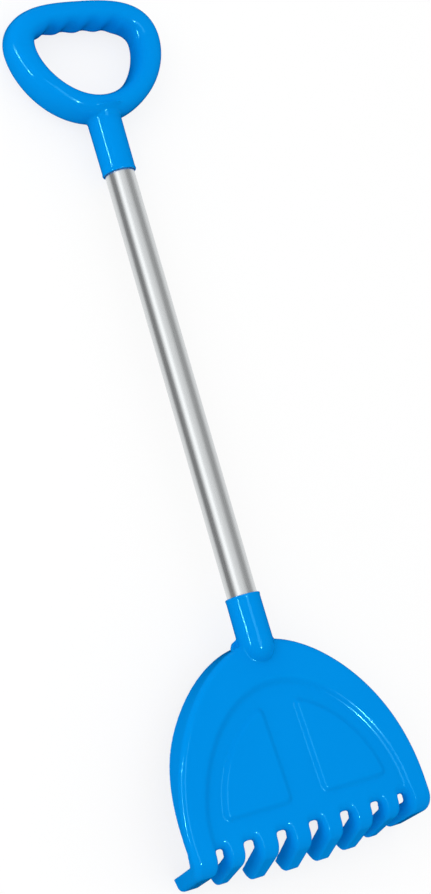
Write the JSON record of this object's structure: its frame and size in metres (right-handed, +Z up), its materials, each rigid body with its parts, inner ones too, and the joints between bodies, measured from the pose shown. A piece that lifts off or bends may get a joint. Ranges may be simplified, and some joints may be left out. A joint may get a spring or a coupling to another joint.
{
  "type": "rake",
  "caption": "Child's long-handled sand rake: D grip with finger grooves, straight tube, and an arched shell head with hooked tines and two raised pads.",
  "frame": {"origin": "centre of the footprint on the floor, with the rake lying on its tine tips and its grip, front of the head up", "axes": "+Y from the head to the grip, +Z up, +X across the head"},
  "size_m": [0.1986, 0.6504, 0.0487],
  "materials": {
    "grip_plastic": "glossy moulded",
    "head_plastic": "glossy moulded",
    "tube_aluminium": "drawn, lightly brushed",
    "screw_steel": "plain"
  },
  "bodies": {
    "root": {"grip": "grip_plastic", "shaft_tube": "tube_aluminium", "rake_head": "head_plastic", "grip_screw": "screw_steel", "head_screw": "screw_steel"}
  },
  "joints": []
}
